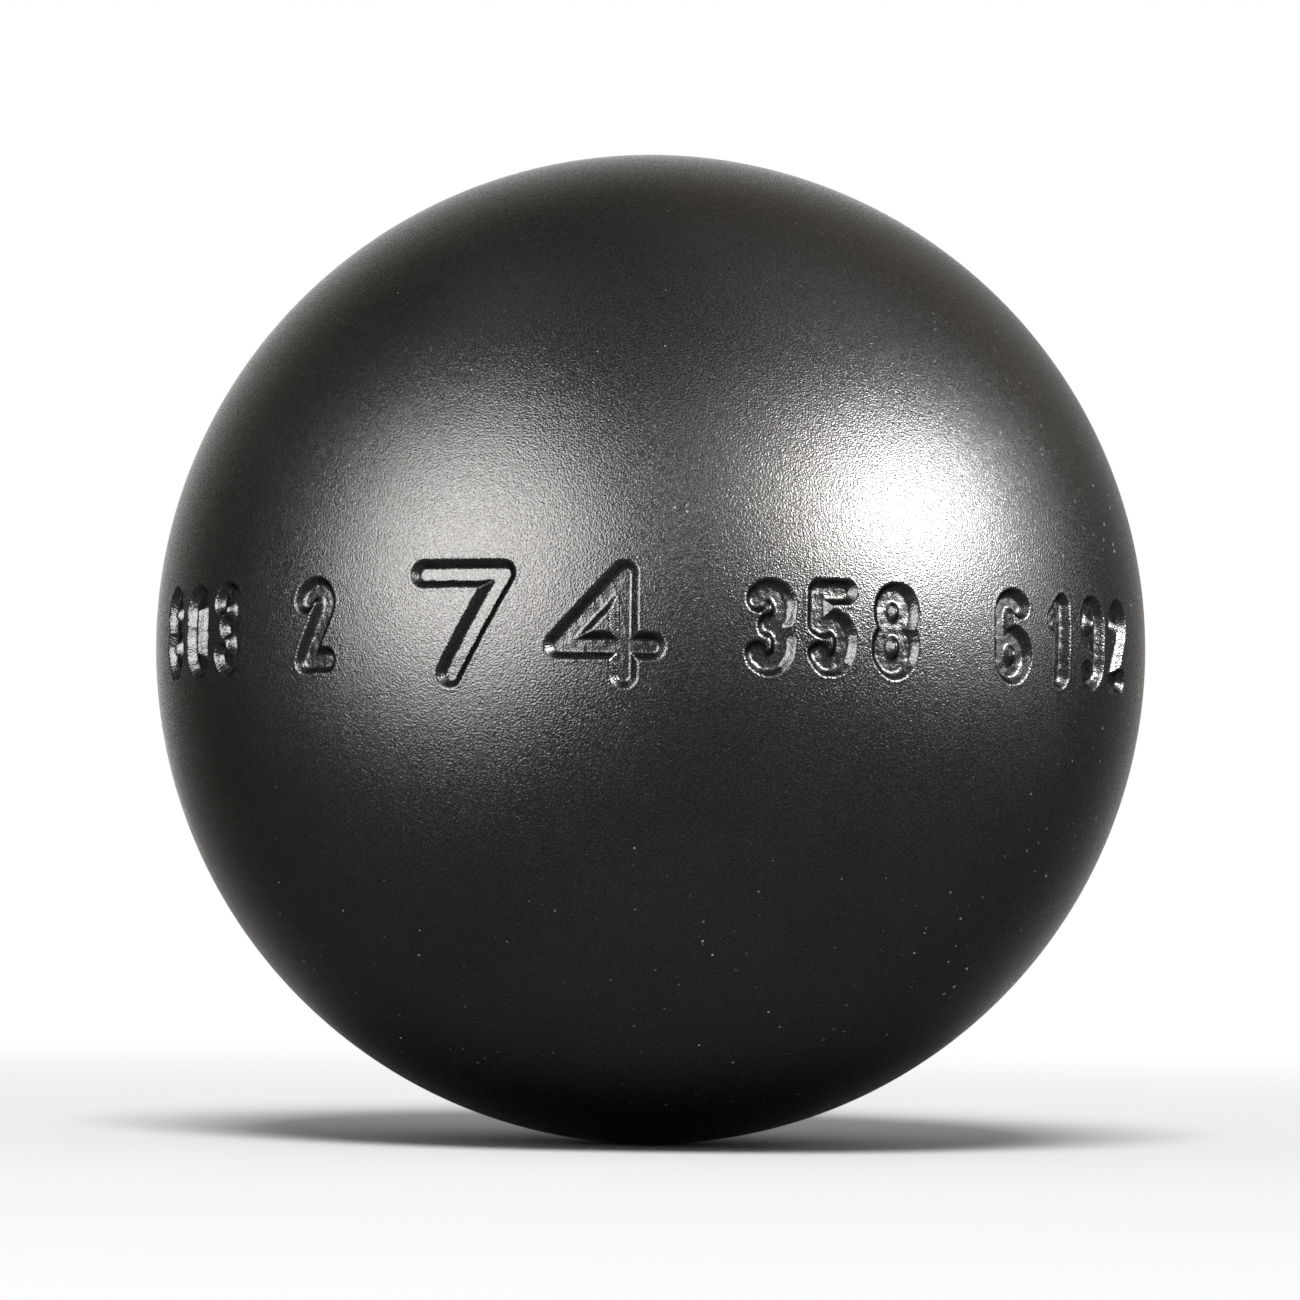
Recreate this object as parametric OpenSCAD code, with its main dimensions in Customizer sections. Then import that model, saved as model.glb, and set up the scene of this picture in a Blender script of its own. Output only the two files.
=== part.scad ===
// Hollow steel boule for petanque: two pressed half shells, joined by one ring of weld.
// The ball's axis runs through the middle of both half shells and lies along Y. The seam
// is the upright plane through the ball's centre. All lengths are in millimetres.

/* [Ball] */
// Outside diameter, turned after welding
ball_d = 74; // [70.5:0.5:80]
// Thickness of the steel beside the land, near the rim of a half shell
rim_wall = 6; // [5:0.05:8]
// Extra thickness at the crown, which gives the pressing its draft
crown_extra = 0.4; // [0:0.1:1]

/* [Rim] */
// Length of the land bored inside each rim, along the axis
land_len = 4; // [3:0.5:8]
// Depth of the land below the pressed inner surface
land_depth = 0.4; // [0.2:0.1:1]

/* [Weld] */
// Gap that the jig leaves between the two rims
root_gap = 1; // [0.6:0.1:1.6]
// Height of the flat root face of each rim, outward from its land
root_face = 1.5; // [1:0.1:2.5]
// Bevel of each rim, away from the seam plane, in degrees
bevel_angle = 30; // [22:1:38]
// Width of the root run inside the ball
root_run_w = 4; // [2.6:0.1:5.6]
// Height of the root run above the lands
root_run_h = 0.8; // [0.3:0.1:1.2]

/* [Finish] */
// Segments drawn round a full circle
$fn = 180; // [60:12:360]

/* [Hidden] */

ball_r = ball_d / 2;
punch_r = ball_r - rim_wall;
land_r = punch_r + land_depth;
root_top_r = land_r + root_face;
overrun = rim_wall / 4;
bevel_run = (ball_r + overrun - root_top_r) * tan(bevel_angle);
root_run_r = (root_run_w * root_run_w / 4 + root_run_h * root_run_h) / (2 * root_run_h);

shell_color = [0.14, 0.14, 0.135];
weld_color = [0.30, 0.29, 0.28];

// In every section x is the radius from the ball's axis and y the distance from the seam.

// Everything on one side of the seam plane and on one side of the axis
module quarter_plane() {
    square(ball_r + overrun);
}

// Half of the weld groove: the straight root gap, then the bevel out past the ball
module half_groove(inner_r) {
    polygon([
        [inner_r, 0],
        [inner_r, root_gap / 2],
        [root_top_r, root_gap / 2],
        [ball_r + overrun, root_gap / 2 + bevel_run],
        [ball_r + overrun, 0],
    ]);
}

// What the boring tool takes out: a straight land, then a run out at 45 degrees
module land_bore() {
    polygon([
        [0, 0],
        [land_r, 0],
        [land_r, land_len],
        [land_r - land_len, 2 * land_len],
        [0, 2 * land_len],
    ]);
}

// Section of one half shell. The punch's centre lies beyond the rim, so the crown is
// thicker than the rim and the pressing draws off the punch.
module half_shell_section() {
    intersection() {
        difference() {
            circle(r = ball_r);
            translate([0, -crown_extra]) circle(r = punch_r);
            land_bore();
            half_groove(punch_r);
        }
        quarter_plane();
    }
}

// Convex root run that stands on the two lands, inside the ball
module root_run_section() {
    intersection() {
        translate([land_r - root_run_h + root_run_r, 0]) circle(r = root_run_r);
        translate([0, -root_run_w]) square([land_r, 2 * root_run_w]);
    }
}

// Section of the weld: the groove filled flush with the ball, and the root run
module weld_section() {
    intersection() {
        circle(r = ball_r);
        union() {
            half_groove(land_r - root_run_h / 2);
            mirror([0, 1]) half_groove(land_r - root_run_h / 2);
        }
    }
    root_run_section();
}

// One half shell, with its crown up and its rim on the seam plane
module half_shell() {
    rotate_extrude() half_shell_section();
}

module front_half_shell() {
    color(shell_color) rotate([90, 0, 0]) half_shell();
}

module back_half_shell() {
    color(shell_color) rotate([-90, 0, 0]) half_shell();
}

module weld_bead() {
    color(weld_color) rotate([90, 0, 0]) rotate_extrude() weld_section();
}

front_half_shell();
back_half_shell();
weld_bead();
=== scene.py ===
"""Looks of a steel petanque boule: a ball of two half shells and one ring of weld.

Everything is in metres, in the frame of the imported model: Z up, the ball's axis along Y,
the middle of the ball at the origin. The front half shell faces the camera, at -Y.
"""

import bpy
import numpy as np
from mathutils import Matrix, Vector


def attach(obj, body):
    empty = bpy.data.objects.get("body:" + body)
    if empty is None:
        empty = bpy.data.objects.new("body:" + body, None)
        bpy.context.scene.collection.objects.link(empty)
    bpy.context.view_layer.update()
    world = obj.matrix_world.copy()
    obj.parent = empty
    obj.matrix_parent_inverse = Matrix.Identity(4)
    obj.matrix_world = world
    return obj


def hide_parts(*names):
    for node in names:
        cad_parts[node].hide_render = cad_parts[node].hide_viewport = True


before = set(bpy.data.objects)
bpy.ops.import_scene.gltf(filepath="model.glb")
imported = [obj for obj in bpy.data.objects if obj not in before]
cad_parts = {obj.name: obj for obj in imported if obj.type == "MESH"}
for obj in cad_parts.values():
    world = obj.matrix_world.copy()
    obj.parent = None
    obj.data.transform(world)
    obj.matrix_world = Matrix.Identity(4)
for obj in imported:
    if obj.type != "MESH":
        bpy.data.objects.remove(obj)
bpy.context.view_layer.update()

# A millimetre, and the least length that anything is divided by
MM = 0.001
TINY = 1e-9

# Ball, rims and weld, as in the part's source
BALL_R = 37.0 * MM
PUNCH_R = 31.0 * MM
CROWN_EXTRA = 0.4 * MM
LAND_R = 31.4 * MM
LAND_LEN = 4.0 * MM
ROOT_TOP_R = 32.9 * MM
HALF_GAP = 0.5 * MM
BEVEL_SLOPE = np.tan(np.radians(30.0))
ROOT_RUN_HALF = 2.0 * MM
ROOT_RUN_H = 0.8 * MM

# How finely the pieces are cut: spaces along a row of the plain skin, rows from the band
# of marks to an end of the rim, rings of the punched bore, points across a face of the weld
PLAIN_COLUMNS = 160
OUTER_ROWS = 67
BORE_RINGS = 29
WELD_POINTS = 13

# Stamped marks: half width at the surface, half width of the floor, depth, how much the
# wall bends in towards the floor (1 is straight), unevenness
SMALL_STAMP = (0.92 * MM, 0.36 * MM, 0.57 * MM, 1.45, 1.0)
LARGE_STAMP = (1.0 * MM, 0.43 * MM, 0.58 * MM, 1.0, 0.6)

# Lip of steel that a stamp pushed up, the factor that brings its s (1 - s)^2 to a peak
# of 1, and the room kept round a stamp for it
LIP_H = 0.018 * MM
LIP_W = 0.26 * MM
LIP_PEAK = 27.0 / 4.0
CLEARANCE = 0.45 * MM

# Grid of the marks: half height of their band, its cells in and between the marks, the
# least gap that gets wide cells, and how near a point has to be to move onto an edge
MARK_BAND = 4.9 * MM
MARK_CELL = 0.11 * MM
WIDE_CELL = 0.8 * MM
LEAST_GAP = 6.0 * MARK_CELL
SNAP = 0.42 * MARK_CELL

# Unevenness of a stamp's outline, floor and, as a share, lip. Each has the shortest and
# longest of its waves, and its seed
OUTLINE_WAVER = 0.016 * MM
OUTLINE_WAVES = (0.7 * MM, 2.2 * MM, 3)
FLOOR_WAVER = 0.011 * MM
FLOOR_WAVES = (0.5 * MM, 1.3 * MM, 5)
LIP_WAVER = 0.45
LIP_WAVES = (0.6 * MM, 2.0 * MM, 8)
WAVE_COUNT = 12

# Points along an open curve of a digit and along a closed loop
CURVE_POINTS = 14
LOOP_POINTS = 28

# Each stamp: digit, angle round the ball from the middle of the front, height in mm,
# tilt in degrees. The large pair gives the diameter in mm, the rest are plain numbers
SMALL_ROW = (
    ("8", -69.4, 0.02, 0.8), ("0", -62.0, -0.05, 0.0), ("3", -55.1, 0.03, -0.6),
    ("2", -39.8, 0.05, 1.5),
    ("3", 12.8, -0.03, -0.5), ("5", 19.8, 0.05, 0.6), ("8", 27.5, 0.0, -0.8),
    ("6", 43.9, 0.04, 0.9), ("1", 52.2, -0.04, -0.7), ("9", 59.2, 0.02, 0.5),
    ("2", 66.3, 0.0, -0.5),
)
LARGE_ROW = (("7", -20.9, 0.0, 0.0), ("4", -4.9, 0.0, 0.0))

# Camera, from the ball's outline and the line of the marks
CAMERA_DISTANCE = 12.0 * BALL_R
CAMERA_ELEVATION = np.radians(-2.67)
CAMERA_ROLL = np.radians(0.83)
CAMERA_LENS = 163.8
CAMERA_SENSOR = 36.0
CAMERA_SHIFT = -0.0005
CAMERA_NEAR = 0.01
CAMERA_FAR = 50.0

# Surroundings, and the floor with the distances between which it fades out
WHITE = (1.0, 1.0, 1.0, 1.0)
SKY_LEVEL = 0.3
FLOOR_TONE = (0.94, 0.94, 0.94, 1.0)
FLOOR_R = 0.45
FLOOR_RINGS = 9
FLOOR_SPOKES = 96
FLOOR_FADE = (0.09, 0.36)

# A soft lamp above the camera lights the floor and matt things at a plain level
SOFT_LAMP_AT = (0.0, -2.4, 2.6)
SOFT_LAMP_SIZE = 1.3
SOFT_LAMP_RADIANCE = 22.0

# Soft boxes that the polished steel shows: angle to the right of the camera, angle up,
# angular radius, radiance, share of red that it lacks
BOX_DISTANCE = 1.0
SOFT_BOXES = {
    "soft_box_right": (55.6, 25.9, 12.8, 108.2, 0.0),
    "soft_box_core": (71.1, 24.8, 7.5, 305.0, 0.1),
    "soft_box_left": (-42.7, 18.6, 27.4, 41.0, 0.02),
    "soft_box_side": (82.8, 19.7, 21.3, 15.7, 0.0),
    "soft_box_middle": (33.4, 38.1, 21.4, 6.1, 0.0),
    "soft_box_top_left": (-97.7, 69.2, 8.1, 2.1, 0.0),
    "soft_box_top_right": (104.1, 59.8, 9.9, 2.6, 0.0),
    "soft_box_back": (-165.0, 18.0, 24.0, 0.9, 0.0),
    "soft_box_high": (132.0, 46.0, 32.0, 1.1, 0.0),
}

# Where the values of a fine and of a wide noise mostly lie. Every scale of a texture is
# in features per metre
FINE_RANGE = (0.35, 0.65)
WIDE_RANGE = (0.3, 0.7)

# Steel: its colour, the tint of its edges, its roughness, and how handling, specks and
# pits change them
STEEL_TONE = (0.0181, 0.0175, 0.0169)
EDGE_TINT = (0.481, 0.473, 0.463, 1.0)
STEEL_ROUGHNESS = 0.275
HANDLED_SCALE = 55.0
HANDLED_DETAIL = 5.0
HANDLED_CONTRAST = 0.6
HANDLED_ROUGHNESS = 0.018
TONE_SPREAD = 0.24
TONE_OF_HANDLING = 0.3
TONE_OF_SPECKS = 0.7
SPECKLE_SCALE = 9500.0
PIT_SCALE = 8500.0
PIT_ROUGHNESS = 0.06

# Blasted grain, and what a stamp did to it: the fine grain flattened by a share, and a
# coarse one pressed in
GRAIN_SCALE = 8300.0
GRAIN_DETAIL = 0.5
GRAIN_DEPTH = 0.038 * MM
MARK_FLATTENED = 0.55
MARK_GRAIN = 0.6
MARK_GRAIN_SCALE = 3600.0
MARK_GRAIN_DETAIL = 2.0

# Dust: colour, shine, and what it adds to the roughness
DUST_TONE = (0.42, 0.41, 0.39, 1.0)
DUST_SHINE = 0.2
DUST_ROUGHNESS = 0.5

# Specks of dust: how close they lie, the range of a cell's red that grows one from nothing
# to its full size, that size and its soft edge in cells of the pattern, the strength of the
# faintest, and the power that makes most of them faint
DUST_SCALE = 1250.0
DUST_SHARE = (0.15, 1.0)
DUST_SIZE = 0.17
DUST_EDGE = 0.03
DUST_FAINTEST = 0.075
DUST_POWER = 6.0

# The specks are larger to one side, by the lean, and in patches, by a wide noise
DUST_LEAN = (4.0, 0.0, -3.0)
PATCH_SCALE = 45.0
PATCH_DETAIL = 2.0
PATCH_RANGE = (0.35, 0.75)
PATCH_SIZE = (0.45, 1.15)


def feed(tree, socket, value):
    """Gives a socket its input: another node's output, or a plain value."""
    if isinstance(value, bpy.types.NodeSocket):
        tree.links.new(value, socket)
    else:
        socket.default_value = value


def add(tree, kind, **values):
    """New node of a kind, with its named sockets fed."""
    node = tree.nodes.new(kind)
    for name, value in values.items():
        feed(tree, node.inputs[name.replace("_", " ")], value)
    return node


def noise(tree, where, scale, detail, contrast=0.5):
    """Noise texture on the given coordinates."""
    node = add(tree, "ShaderNodeTexNoise", Vector=where, Scale=scale, Detail=detail,
               Roughness=contrast)
    return node.outputs["Fac"]


def ramp(tree, value, given, wanted):
    """Value carried from one range to another, and held at both ends."""
    node = add(tree, "ShaderNodeMapRange", Value=value, From_Min=given[0], From_Max=given[1],
               To_Min=wanted[0], To_Max=wanted[1])
    return node.outputs["Result"]


def maths(tree, operation, one, two):
    """Two values joined by a sum, product or the like."""
    node = tree.nodes.new("ShaderNodeMath")
    node.operation = operation
    feed(tree, node.inputs[0], one)
    feed(tree, node.inputs[1], two)
    return node.outputs[0]


def mix_colours(tree, share, one, two):
    """Colour between two, by the share of the second."""
    node = tree.nodes.new("ShaderNodeMix")
    node.data_type = "RGBA"
    feed(tree, node.inputs["Factor"], share)
    feed(tree, node.inputs[6], one)
    feed(tree, node.inputs[7], two)
    return node.outputs[2]


def mix_shaders(tree, share, one, two, out):
    """Two shaders mixed into the output, by the share of the second."""
    node = tree.nodes.new("ShaderNodeMixShader")
    feed(tree, node.inputs[0], share)
    feed(tree, node.inputs[1], one.outputs[0])
    feed(tree, node.inputs[2], two.outputs[0])
    feed(tree, out.inputs["Surface"], node.outputs[0])


def new_material(name):
    """A material with nothing in it but its output: material, node tree, output node."""
    made = bpy.data.materials.new(name)
    made.use_nodes = True
    made.node_tree.nodes.clear()
    return made, made.node_tree, made.node_tree.nodes.new("ShaderNodeOutputMaterial")


def place_camera():
    """Puts the camera on a sphere round the ball, looking at the ball's middle.

    The place is distance * (0, -cos e, sin e), and the view is turned by the roll about
    its own axis.
    """
    data = bpy.data.cameras.new("camera")
    data.sensor_width = CAMERA_SENSOR
    data.lens = CAMERA_LENS
    data.clip_start = CAMERA_NEAR
    data.clip_end = CAMERA_FAR
    data.shift_x = CAMERA_SHIFT
    data.shift_y = CAMERA_SHIFT
    camera = bpy.data.objects.new("camera", data)
    bpy.context.scene.collection.objects.link(camera)
    away = Vector((0.0, -np.cos(CAMERA_ELEVATION), np.sin(CAMERA_ELEVATION)))
    aim = (-away).to_track_quat("-Z", "Y").to_matrix().to_4x4()
    roll = Matrix.Rotation(CAMERA_ROLL, 4, "Z")
    camera.matrix_world = Matrix.Translation(away * CAMERA_DISTANCE) @ aim @ roll
    bpy.context.scene.camera = camera
    return camera


def make_world():
    """White to camera, glossy and transmission rays, and a plain soft grey to the rest."""
    world = bpy.data.worlds.new("studio")
    bpy.context.scene.world = world
    world.use_nodes = True
    tree = world.node_tree
    tree.nodes.clear()
    rays = tree.nodes.new("ShaderNodeLightPath").outputs
    seen = maths(tree, "MAXIMUM", rays["Is Camera Ray"], rays["Is Glossy Ray"])
    seen = maths(tree, "MAXIMUM", seen, rays["Is Transmission Ray"])
    soft = add(tree, "ShaderNodeBackground", Color=WHITE, Strength=SKY_LEVEL)
    white = add(tree, "ShaderNodeBackground", Color=WHITE, Strength=1.0)
    out = tree.nodes.new("ShaderNodeOutputWorld")
    mix_shaders(tree, seen, soft, white, out)


def floor_paint():
    """Pale matt paint that fades to clear with the distance from the ball's middle."""
    paint, tree, out = new_material("floor_paint")
    matt = add(tree, "ShaderNodeBsdfDiffuse", Color=FLOOR_TONE)
    clear = tree.nodes.new("ShaderNodeBsdfTransparent")
    reach = tree.nodes.new("ShaderNodeVectorMath")
    reach.operation = "LENGTH"
    feed(tree, reach.inputs[0], tree.nodes.new("ShaderNodeTexCoord").outputs["Object"])
    fade = add(tree, "ShaderNodeMapRange", Value=reach.outputs["Value"],
               From_Min=FLOOR_FADE[0], From_Max=FLOOR_FADE[1])
    fade.interpolation_type = "SMOOTHSTEP"
    mix_shaders(tree, fade.outputs["Result"], matt, clear, out)
    return paint


def make_floor():
    """Pale floor disc under the ball: r runs from 0 to the rim, the angle goes round."""
    radii = np.linspace(0.0, FLOOR_R, FLOOR_RINGS + 1)[1:]
    turn = np.linspace(0.0, 2.0 * np.pi, FLOOR_SPOKES, endpoint=False)
    rr, tt = np.meshgrid(radii, turn, indexing="ij")
    ring = np.stack([rr * np.cos(tt), rr * np.sin(tt), np.full_like(rr, -BALL_R)], -1)
    points = np.concatenate([[[0.0, 0.0, -BALL_R]], ring.reshape(-1, 3)])
    ids = 1 + np.arange(rr.size).reshape(rr.shape)
    after = np.roll(ids, -1, axis=1)
    quads = np.stack([ids[:-1], ids[1:], after[1:], after[:-1]], -1).reshape(-1, 4)
    fan = np.stack([np.zeros(FLOOR_SPOKES, int), ids[0], after[0]], -1)
    mesh = bpy.data.meshes.new("floor")
    mesh.from_pydata(points.tolist(), [], quads.tolist() + fan.tolist())
    mesh.materials.append(floor_paint())
    floor = bpy.data.objects.new("floor", mesh)
    bpy.context.scene.collection.objects.link(floor)


def area_lamp(name, place, across, radiance, shape, cool=0.0):
    """A flat lamp at a place, facing the ball. Power is pi * area * radiance.

    A cool lamp lacks that share of red and half that share of green.
    """
    data = bpy.data.lights.new(name, "AREA")
    data.shape = shape
    data.size = across
    area = across * across * (np.pi / 4.0 if shape == "DISK" else 1.0)
    data.energy = np.pi * area * radiance
    data.color = (1.0 - cool, 1.0 - cool / 2.0, 1.0)
    lamp = bpy.data.objects.new(name, data)
    bpy.context.scene.collection.objects.link(lamp)
    aim = (-place).to_track_quat("-Z", "Y").to_matrix().to_4x4()
    lamp.matrix_world = Matrix.Translation(place) @ aim
    lamp.visible_camera = False
    return lamp


def make_lamps(camera):
    """One soft lamp for matt things, and soft boxes that only show in the steel."""
    plain = area_lamp("soft_lamp", Vector(SOFT_LAMP_AT), SOFT_LAMP_SIZE,
                      SOFT_LAMP_RADIANCE, "SQUARE")
    plain.visible_glossy = False
    turn = camera.matrix_world.to_3x3()
    right, up, back = turn.col[0], turn.col[1], turn.col[2]
    for name, (side, rise, spread, radiance, cool) in SOFT_BOXES.items():
        side, rise, spread = np.radians((side, rise, spread))
        flat = back * np.cos(side) + right * np.sin(side)
        place = (flat * np.cos(rise) + up * np.sin(rise)) * BOX_DISTANCE
        across = 2.0 * BOX_DISTANCE * np.tan(spread)
        lamp = area_lamp(name, place, across, radiance, "DISK", cool)
        lamp.visible_diffuse = False


def curve(middle, radii, turn, count=CURVE_POINTS):
    """Points of an ellipse arc: middle + (rx cos a, ry sin a), a in degrees."""
    a = np.radians(np.linspace(turn[0], turn[1], count))
    return np.stack([middle[0] + radii[0] * np.cos(a), middle[1] + radii[1] * np.sin(a)], -1)


def small_digits():
    """Centre lines of the small digits, in mm, 2 wide and 5 high round (0, 0).

    They are curves and straight runs, with w and h half the width and height. In 3 and 8
    the upper loop is a little smaller than the lower one.
    """
    w, h = 1.0, 2.5
    upper, lower = 1.18, 1.32
    high, low = h - upper, lower - h
    nine = [curve((0, high), (w, upper), (0, 360), LOOP_POINTS),
            np.array([(w, high), (w, w - h)]),
            curve((0, w - h), (w, w), (0, -140))]
    return {
        "0": [curve((0, h - w), (w, w), (180, 0)), np.array([(w, h - w), (w, w - h)]),
              curve((0, w - h), (w, w), (0, -180)), np.array([(-w, w - h), (-w, h - w)])],
        "1": [np.array([(0.25, -h), (0.25, h), (-0.75, h - 1.0)])],
        "2": [curve((0, h - w), (w, w), (165, -30)),
              np.array([(0.87, h - 1.5), (-w, -h), (w, -h)])],
        "3": [curve((0, high), (w, upper), (150, -90)),
              curve((0, low), (w, lower), (90, -150))],
        "5": [np.array([(w, h), (-0.85, h), (-0.9, 0.3)]),
              curve((0, low + 0.1), (w, lower + 0.1), (125, -150))],
        "6": [-line for line in nine],
        "8": [curve((0, high), (0.9, upper), (0, 360), LOOP_POINTS),
              curve((0, low), (w, lower), (0, 360), LOOP_POINTS)],
        "9": nine,
    }


def large_digits():
    """Centre lines of the two large digits, in mm, 7 high round (0, 0)."""
    return {
        "7": [np.array([(-3.0, 3.5), (3.0, 3.5), (-0.9, -3.5)])],
        "4": [np.array([(1.3, -3.5), (1.3, 3.5), (-3.25, -1.5), (3.25, -1.5)])],
    }


def stamps():
    """Every stamp: its line starts and line ends, then its sizes as listed above.

    A centre line point p of a digit goes to turn(p) + (angle * radius, height), on the
    ball's surface unrolled along its equator, in metres.
    """
    made = []
    for row, shapes, size in ((SMALL_ROW, small_digits(), SMALL_STAMP),
                              (LARGE_ROW, large_digits(), LARGE_STAMP)):
        for digit, angle, height, tilt in row:
            t = np.radians(tilt)
            turn = np.array([[np.cos(t), -np.sin(t)], [np.sin(t), np.cos(t)]])
            place = np.array([np.radians(angle) * BALL_R, height * MM])
            lines = [(line * MM) @ turn.T + place for line in shapes[digit]]
            starts = np.concatenate([line[:-1] for line in lines])
            ends = np.concatenate([line[1:] for line in lines])
            made.append((starts, ends) + size)
    return made


def nearest_line(points, starts, ends):
    """Distance from each point to the nearest line, and the unit vector away from it.

    With s the share along the line, kept in 0..1, the nearest point is start + s * run.
    """
    run = ends - starts
    gap = points[:, None, :] - starts[None]
    share = (gap * run).sum(-1) / (run * run).sum(-1)
    off = gap - np.clip(share, 0.0, 1.0)[..., None] * run
    far = np.hypot(off[..., 0], off[..., 1])
    best = far.argmin(1)
    pick = np.arange(len(points))
    length = far[pick, best]
    away = off[pick, best] / np.maximum(length, TINY)[:, None]
    return length, away


def uneven(points, shortest, longest, seed):
    """Smooth unevenness of about 1 on the unrolled surface, the same on every run.

    Sine waves that run every way: sum of sin(2 pi (p . way) / length + start), over the
    root of half their number.
    """
    dice = np.random.default_rng(seed)
    turn = dice.uniform(0.0, 2.0 * np.pi, WAVE_COUNT)
    length = dice.uniform(shortest, longest, WAVE_COUNT)
    start = dice.uniform(0.0, 2.0 * np.pi, WAVE_COUNT)
    way = np.stack([np.cos(turn), np.sin(turn)]) / length
    return np.sin(2.0 * np.pi * points @ way + start).sum(1) / np.sqrt(WAVE_COUNT / 2.0)


def stamp_field(points):
    """For each unrolled point: inset from the nearest stroke's edge, the way out of it, and
    the stamp's wall run, depth, bend and unevenness. The outline wavers by the last.
    """
    inset = np.full(len(points), -1.0)
    away = np.zeros((len(points), 2))
    sizes = np.zeros((len(points), 4))
    sizes[:, 0] = 1.0
    waver = OUTLINE_WAVER * uneven(points, *OUTLINE_WAVES)
    for starts, ends, half, flat, depth, bend, rough in stamps():
        low = np.minimum(starts, ends).min(0) - half - CLEARANCE
        high = np.maximum(starts, ends).max(0) + half + CLEARANCE
        near = np.flatnonzero(((points > low) & (points < high)).all(1))
        length, way = nearest_line(points[near], starts, ends)
        found = half - length + rough * waver[near]
        better = found > inset[near]
        took = near[better]
        inset[took] = found[better]
        away[took] = way[better]
        sizes[took] = half - flat, depth, bend, rough
    return inset, away, sizes


def stamp_depth(points, inset, sizes):
    """How far the surface lies under the ball's sphere at a given inset from the edge.

    Inside, a wall that bends down to a floor: depth * (1 - (1 - inset / wall)^bend), with
    the floor a little uneven. Outside, the steel that the stamp pushed up: minus
    height * 27/4 s (1 - s)^2, with s the share of the lip's width, which peaks at the height.
    """
    wall, depth, bend, rough = sizes.T
    floor = depth + rough * FLOOR_WAVER * uneven(points, *FLOOR_WAVES)
    inside = floor * (1.0 - (1.0 - np.clip(inset / wall, 0.0, 1.0)) ** bend)
    share = np.clip(-inset / LIP_W, 0.0, 1.0)
    height = LIP_H * (1.0 + rough * LIP_WAVER * uneven(points, *LIP_WAVES))
    lip = np.maximum(height, 0.0) * LIP_PEAK * share * (1.0 - share) ** 2
    return np.where(inset > 0.0, inside, -lip)


def sink_marks(flat):
    """Unrolled points near a mark's outer edge or floor edge moved onto it, how far each
    then lies under the ball's sphere, and the unevenness of its stamp.
    """
    inset, away, sizes = stamp_field(flat)
    for edge in (0.0, sizes[:, 0]):
        short = inset - edge
        close = (np.abs(short) < SNAP)[:, None]
        flat = np.where(close, flat + short[:, None] * away, flat)
        inset, away, sizes = stamp_field(flat)
    return flat, stamp_depth(flat, inset, sizes), sizes[:, 3]


def rim_point():
    """Where the bevel meets the ball: r = sqrt(R^2 - u^2) and r = top + (u - gap) / slope."""
    k = 1.0 / BEVEL_SLOPE
    a = 1.0 + k * k
    b = 2.0 * k * (ROOT_TOP_R - k * HALF_GAP)
    c = (ROOT_TOP_R - k * HALF_GAP) ** 2 - BALL_R ** 2
    u = (-b + np.sqrt(b * b - 4.0 * a * c)) / (2.0 * a)
    return np.sqrt(BALL_R ** 2 - u * u), u


RIM_R, RIM_U = rim_point()


def mark_columns():
    """Places along a row, from -1 at one rim to 1 at the other: near each other where
    there are digits, wider apart between them.
    """
    spans = []
    for starts, ends, half, flat, depth, bend, rough in stamps():
        reach = half + CLEARANCE
        spans.append((np.minimum(starts, ends)[:, 0].min() - reach,
                      np.maximum(starts, ends)[:, 0].max() + reach))
    spans.sort()
    merged = [list(spans[0])]
    for low, high in spans[1:]:
        if low < merged[-1][1] + LEAST_GAP:
            merged[-1][1] = max(merged[-1][1], high)
        else:
            merged.append([low, high])
    edge = np.arccos(RIM_U / BALL_R) * BALL_R
    parts = []
    here = -edge
    for low, high in merged:
        parts.append(np.linspace(here, low, max(2, int((low - here) / WIDE_CELL) + 1))[:-1])
        parts.append(np.linspace(low, high, int((high - low) / MARK_CELL) + 1)[:-1])
        here = high
    parts.append(np.linspace(here, edge, max(2, int((edge - here) / WIDE_CELL) + 1)))
    return np.concatenate(parts) / edge


def row_heights():
    """Heights of the rows of points, from the bottom of the rim circle to its top.

    Fine rows cross the band of marks. Above and below, rows meet the rim circle at equal
    angles, z = rim radius * sin(angle), so that they close up smoothly at both ends.
    """
    band = np.linspace(-MARK_BAND, MARK_BAND, int(2.0 * MARK_BAND / MARK_CELL) + 1)
    start = np.arcsin(MARK_BAND / RIM_R)
    upper = RIM_R * np.sin(np.linspace(start, np.pi / 2.0, OUTER_ROWS + 1))[1:]
    return -upper[::-1], band, upper


def zip_rows(low_ids, low_s, high_ids, high_s):
    """Triangles between two rows of unlike counts, by the order of their edge middles."""
    low_mid = (low_s[1:] + low_s[:-1]) / 2.0
    high_mid = (high_s[1:] + high_s[:-1]) / 2.0
    over = high_ids[np.searchsorted(high_mid, low_mid)]
    under = low_ids[np.searchsorted(low_mid, high_mid, side="right")]
    up = np.stack([low_ids[:-1], low_ids[1:], over], -1)
    down = np.stack([high_ids[1:], high_ids[:-1], under], -1)
    return np.concatenate([up, down])


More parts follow.
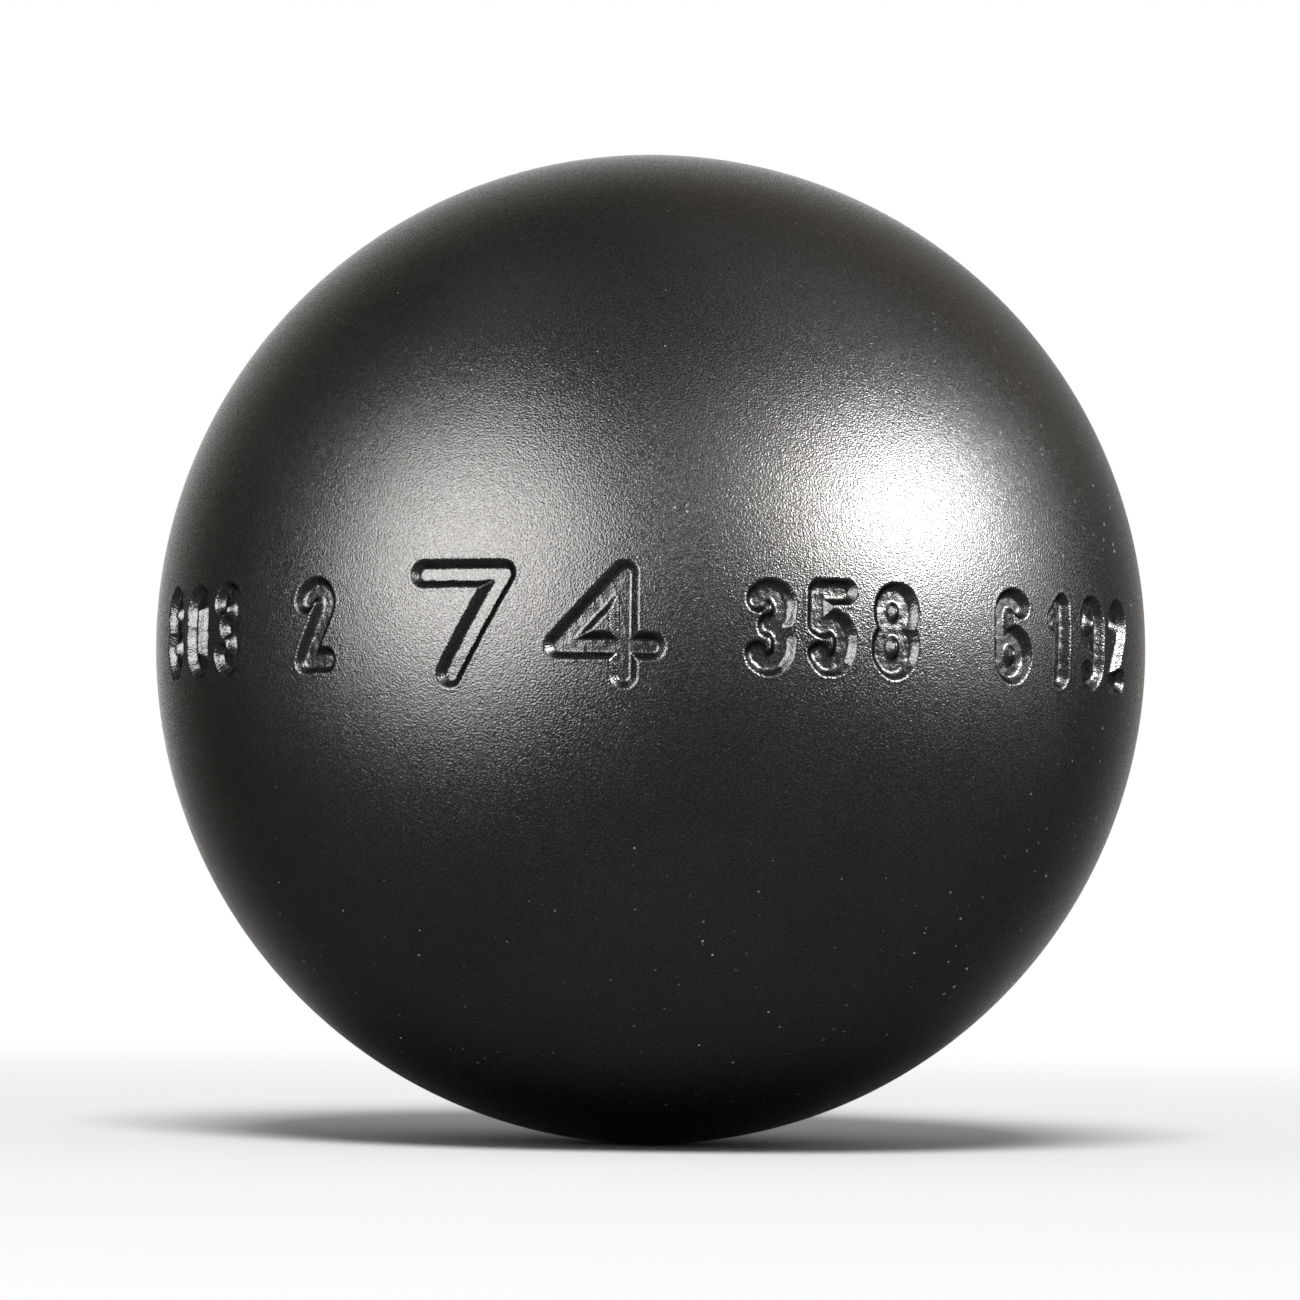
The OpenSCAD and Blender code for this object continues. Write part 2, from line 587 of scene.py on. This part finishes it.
def split_quads(points, ids):
    """Two triangles for each cell of a grid, cut along the diagonal that keeps both fat."""
    a, b = ids[:-1, :-1].ravel(), ids[:-1, 1:].ravel()
    c, d = ids[1:, 1:].ravel(), ids[1:, :-1].ravel()

    def area(i, j, k):
        side = np.cross(points[j] - points[i], points[k] - points[i])
        return np.linalg.norm(side, axis=1)

    one = np.minimum(area(a, b, c), area(a, c, d))
    two = np.minimum(area(a, b, d), area(b, c, d))
    first = (one >= two)[:, None]
    low = np.where(first, np.stack([a, b, c], -1), np.stack([a, b, d], -1))
    high = np.where(first, np.stack([a, c, d], -1), np.stack([b, c, d], -1))
    return np.concatenate([low, high])


def on_ball(angle, rise, radius):
    """Point at an angle round from the front and an angle up: radius * unit vector."""
    return np.stack([radius * np.cos(rise) * np.sin(angle),
                     -radius * np.cos(rise) * np.cos(angle),
                     radius * np.sin(rise)], -1)


def outer_face(stamped):
    """Outer skin of a half shell at -Y, with the stamped marks where asked.

    Rows run round the ball at a height z, rise = asin(z / R), and columns share each row
    evenly from rim to rim: angle = s * acos(rim height / (R cos rise)), s from -1 to 1.
    Returns points, triangles, how deep each point lies in a mark, and the rim's points in
    order of their angle about the ball's axis.
    """
    below, band, above = row_heights()
    coarse = np.linspace(-1.0, 1.0, PLAIN_COLUMNS + 1)
    fine = mark_columns() if stamped else coarse
    blocks = [(below[:1], np.zeros(1)), (below[1:], coarse), (band, fine),
              (above[:-1], coarse), (above[-1:], np.zeros(1))]
    points, deep, ids, count = [], [], [], 0
    for heights, share in blocks:
        rise = np.arcsin(np.clip(heights / BALL_R, -1.0, 1.0))
        limit = np.arccos(np.clip(RIM_U / (BALL_R * np.cos(rise)), -1.0, 1.0))
        angle = limit[:, None] * share[None]
        rise = np.broadcast_to(rise[:, None], angle.shape)
        flat = np.stack([angle, rise], -1).reshape(-1, 2) * BALL_R
        sunk, rough = np.zeros(len(flat)), np.zeros(len(flat))
        if stamped and heights is band:
            flat, sunk, rough = sink_marks(flat)
        points.append(on_ball(flat[:, 0] / BALL_R, flat[:, 1] / BALL_R, BALL_R - sunk))
        deep.append(rough * np.clip(sunk / SMALL_STAMP[2], 0.0, 1.0))
        ids.append(count + np.arange(len(flat)).reshape(angle.shape))
        count += len(flat)
    points = np.concatenate(points)
    faces = [split_quads(points, block) for block in ids[1:-1]]
    for k in range(len(blocks) - 1):
        faces.append(zip_rows(ids[k][-1], blocks[k][1], ids[k + 1][0], blocks[k + 1][1]))
    right = np.concatenate([block[:, -1] for block in ids])
    left = np.concatenate([block[:, 0] for block in ids[1:-1]])
    rim = np.concatenate([right, left[::-1]])
    return points, np.concatenate(faces), np.concatenate(deep), rim


def inner_section():
    """Section of the shell's inside, (r, u) from the bevel's foot to the inner crown.

    Root face, land, 45 degree run out to the punched bore, and the punch's sphere, whose
    middle lies a little beyond the seam.
    """
    foot = np.array([(ROOT_TOP_R, HALF_GAP), (LAND_R, HALF_GAP), (LAND_R, LAND_LEN)])
    k = LAND_LEN + CROWN_EXTRA
    meet = np.roots([2.0, 2.0 * (k - LAND_R), LAND_R ** 2 + k * k - PUNCH_R ** 2])
    run = float(meet.real.min())
    start = np.array([LAND_R - run, LAND_LEN + run])
    first = np.arctan2(start[1] + CROWN_EXTRA, start[0])
    a = np.linspace(first, np.pi / 2.0, BORE_RINGS + 1)[:-1]
    sphere = np.stack([PUNCH_R * np.cos(a), PUNCH_R * np.sin(a) - CROWN_EXTRA], -1)
    return np.concatenate([foot, sphere])


def half_shell(stamped):
    """Closed half shell at -Y: outer skin, then rings of the inner section, then a crown.

    Each point (r, u) of the section goes round as (r cos t, -u, r sin t). Returns points,
    triangles, how deep each point lies in a mark, the rings with a sharp edge, and the
    angles t.
    """
    points, faces, deep, rim = outer_face(stamped)
    turn = np.arctan2(points[rim, 2], points[rim, 0])
    section = inner_section()
    rings = np.stack([section[:, :1] * np.cos(turn), np.repeat(-section[:, 1:], len(turn), 1),
                      section[:, :1] * np.sin(turn)], -1)
    ids = len(points) + np.arange(len(section) * len(turn)).reshape(len(section), -1)
    ids = np.concatenate([rim[None], ids])
    here, there = ids, np.roll(ids, -1, axis=1)
    quads = np.stack([there[:-1], here[:-1], here[1:], there[1:]], -1).reshape(-1, 4)
    crown = len(points) + rings.shape[0] * rings.shape[1]
    fan = np.stack([there[-1], here[-1], np.full(len(turn), crown)], -1)
    inside = np.concatenate([quads[:, [0, 1, 2]], quads[:, [0, 2, 3]], fan])
    bottom = np.array([[0.0, CROWN_EXTRA - PUNCH_R, 0.0]])
    points = np.concatenate([points, rings.reshape(-1, 3), bottom])
    deep = np.concatenate([deep, np.zeros(len(points) - len(deep))])
    return points, np.concatenate([faces, inside]), deep, ids[:4], turn


def weld_ring(turn):
    """Ring of weld: one closed section carried round the ball's axis.

    Over the shells' rims the section follows the ball, r = sqrt(R^2 - u^2), down both
    bevels to the root gap, and under them it is the low arc of the root run.
    """
    n = WELD_POINTS
    u = np.linspace(RIM_U, -RIM_U, n)
    cap = np.stack([np.sqrt(BALL_R ** 2 - u * u), u], -1)
    radius = (ROOT_RUN_HALF ** 2 + ROOT_RUN_H ** 2) / (2.0 * ROOT_RUN_H)
    a = np.linspace(-1.0, 1.0, n) * np.arcsin(ROOT_RUN_HALF / radius)
    low = np.stack([LAND_R - ROOT_RUN_H + radius * (1.0 - np.cos(a)), radius * np.sin(a)], -1)
    left = np.array([(ROOT_TOP_R, -HALF_GAP), (LAND_R, -HALF_GAP)])
    right = np.array([(LAND_R, HALF_GAP), (ROOT_TOP_R, HALF_GAP)])
    section = np.concatenate([cap, left, low, right])
    points = np.stack([section[:, :1] * np.cos(turn), np.repeat(section[:, 1:], len(turn), 1),
                       section[:, :1] * np.sin(turn)], -1)
    ids = np.arange(points.shape[0] * points.shape[1]).reshape(points.shape[:2])
    across = np.roll(ids, -1, axis=0)
    quads = np.stack([ids, np.roll(ids, -1, 1), np.roll(across, -1, 1), across], -1)
    corners = np.array([0, n - 1, n, n + 1, n + 2, 2 * n + 1, 2 * n + 2, 2 * n + 3])
    return points.reshape(-1, 3), quads.reshape(-1, 4), ids[corners]


def make_piece(name, points, faces, sharp_rings, material, deep=None):
    """Smooth mesh object from arrays, with the edges of the given rings left sharp."""
    mesh = bpy.data.meshes.new(name)
    mesh.from_pydata(points, [], faces)
    if deep is not None:
        layer = mesh.attributes.new("stamp_depth", "FLOAT", "POINT")
        layer.data.foreach_set("value", deep.astype(np.float32))
    mesh.polygons.foreach_set("use_smooth", np.ones(len(mesh.polygons), bool))
    ends = np.zeros(len(mesh.edges) * 2, np.int32)
    mesh.edges.foreach_get("vertices", ends)
    ends = ends.reshape(-1, 2)
    ring = np.full(len(points), -1)
    for k, members in enumerate(sharp_rings):
        ring[members] = k
    sharp = (ring[ends[:, 0]] >= 0) & (ring[ends[:, 0]] == ring[ends[:, 1]])
    mesh.attributes.new("sharp_edge", "BOOLEAN", "EDGE").data.foreach_set("value", sharp)
    mesh.materials.append(material)
    mesh.validate()
    mesh.update()
    piece = bpy.data.objects.new(name, mesh)
    bpy.context.scene.collection.objects.link(piece)
    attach(piece, "root")
    return piece


def dust_specks(tree, where):
    """Up to 1 on fine dust, 0 elsewhere: small spheres round a Voronoi pattern's points.

    Each speck has its own strength, faintest + (1 - faintest) * g^power, with g the green
    of its cell's colour, so most are faint.
    """
    cells = add(tree, "ShaderNodeTexVoronoi", Vector=where, Scale=DUST_SCALE)
    split = tree.nodes.new("ShaderNodeSeparateColor")
    feed(tree, split.inputs[0], cells.outputs["Color"])
    red, green = split.outputs[0], split.outputs[1]
    lean = tree.nodes.new("ShaderNodeVectorMath")
    lean.operation = "DOT_PRODUCT"
    feed(tree, lean.inputs[0], where)
    feed(tree, lean.inputs[1], DUST_LEAN)
    patchy = noise(tree, where, PATCH_SCALE, PATCH_DETAIL)
    patchy = maths(tree, "ADD", patchy, lean.outputs["Value"])
    size = maths(tree, "MULTIPLY", ramp(tree, red, DUST_SHARE, (0.0, DUST_SIZE)),
                 ramp(tree, patchy, PATCH_RANGE, PATCH_SIZE))
    over = maths(tree, "SUBTRACT", size, cells.outputs["Distance"])
    strength = ramp(tree, maths(tree, "POWER", green, DUST_POWER), (0.0, 1.0),
                    (DUST_FAINTEST, 1.0))
    return maths(tree, "MULTIPLY", ramp(tree, over, (0.0, DUST_EDGE), (0.0, 1.0)), strength)


def steel_tone(tree, where, handled):
    """The steel's colour, a little darker and lighter by handling and by fine specks."""
    specks = noise(tree, where, SPECKLE_SCALE, 0.0)
    share = maths(tree, "ADD", maths(tree, "MULTIPLY", handled, TONE_OF_HANDLING),
                  maths(tree, "MULTIPLY", specks, TONE_OF_SPECKS))
    dark = tuple((1.0 - TONE_SPREAD) * c for c in STEEL_TONE) + (1.0,)
    light = tuple((1.0 + TONE_SPREAD) * c for c in STEEL_TONE) + (1.0,)
    return mix_colours(tree, ramp(tree, share, FINE_RANGE, (0.0, 1.0)), dark, light)


def steel_roughness(tree, where, handled, dust):
    """The steel's roughness, changed by handling and pits and raised by dust."""
    rough = ramp(tree, handled, WIDE_RANGE, (STEEL_ROUGHNESS - HANDLED_ROUGHNESS,
                                             STEEL_ROUGHNESS + HANDLED_ROUGHNESS))
    pits = ramp(tree, noise(tree, where, PIT_SCALE, 0.0), FINE_RANGE,
                (-PIT_ROUGHNESS, PIT_ROUGHNESS))
    rough = maths(tree, "ADD", rough, pits)
    return maths(tree, "ADD", rough, maths(tree, "MULTIPLY", dust, DUST_ROUGHNESS))


def steel_grain(tree, where, stamped):
    """Height of the blasted grain, up to about 1. In a mark it is flatter and coarser."""
    grain = noise(tree, where, GRAIN_SCALE, GRAIN_DETAIL)
    if not stamped:
        return grain
    mark = tree.nodes.new("ShaderNodeAttribute")
    mark.attribute_name = "stamp_depth"
    deep = mark.outputs["Fac"]
    left = ramp(tree, deep, (0.0, 1.0), (1.0, 1.0 - MARK_FLATTENED))
    coarse = noise(tree, where, MARK_GRAIN_SCALE, MARK_GRAIN_DETAIL)
    coarse = maths(tree, "MULTIPLY", coarse, ramp(tree, deep, (0.0, 1.0), (0.0, MARK_GRAIN)))
    return maths(tree, "ADD", maths(tree, "MULTIPLY", grain, left), coarse)


def blasted_steel(name, stamped):
    """Blackened steel with a fine blasted grain, faint handling marks and a little dust.

    Where there is dust, the surface stops being metal, so that a speck shows its own pale
    colour.
    """
    made, tree, out = new_material(name)
    where = tree.nodes.new("ShaderNodeTexCoord").outputs["Object"]
    handled = noise(tree, where, HANDLED_SCALE, HANDLED_DETAIL, HANDLED_CONTRAST)
    dust = dust_specks(tree, where)
    tone = mix_colours(tree, dust, steel_tone(tree, where, handled), DUST_TONE)
    relief = add(tree, "ShaderNodeBump", Strength=1.0, Distance=GRAIN_DEPTH,
                 Height=steel_grain(tree, where, stamped))
    steel = add(tree, "ShaderNodeBsdfPrincipled", Base_Color=tone,
                Metallic=ramp(tree, dust, (0.0, DUST_FAINTEST), (1.0, 0.0)),
                Roughness=steel_roughness(tree, where, handled, dust),
                Normal=relief.outputs["Normal"], Specular_Tint=EDGE_TINT,
                Specular_IOR_Level=DUST_SHINE)
    feed(tree, out.inputs["Surface"], steel.outputs[0])
    return made


bpy.context.scene.view_settings.view_transform = "Standard"
camera = place_camera()
make_world()
make_floor()
make_lamps(camera)

stamped_finish = blasted_steel("stamped_black_steel", True)
plain_finish = blasted_steel("plain_black_steel", False)
weld_finish = blasted_steel("black_weld", False)

points, faces, deep, sharp, turn = half_shell(True)
front = make_piece("engraved_front_shell", points, faces, sharp, stamped_finish, deep)
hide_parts("front_half_shell")

points, faces, deep, sharp, turn = half_shell(False)
back = make_piece("plain_back_shell", points * (1.0, -1.0, 1.0), faces[:, ::-1], sharp,
                  plain_finish)
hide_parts("back_half_shell")

points, faces, sharp = weld_ring(turn)
bead = make_piece("flush_weld_ring", points, faces, sharp, weld_finish)
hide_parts("weld_bead")
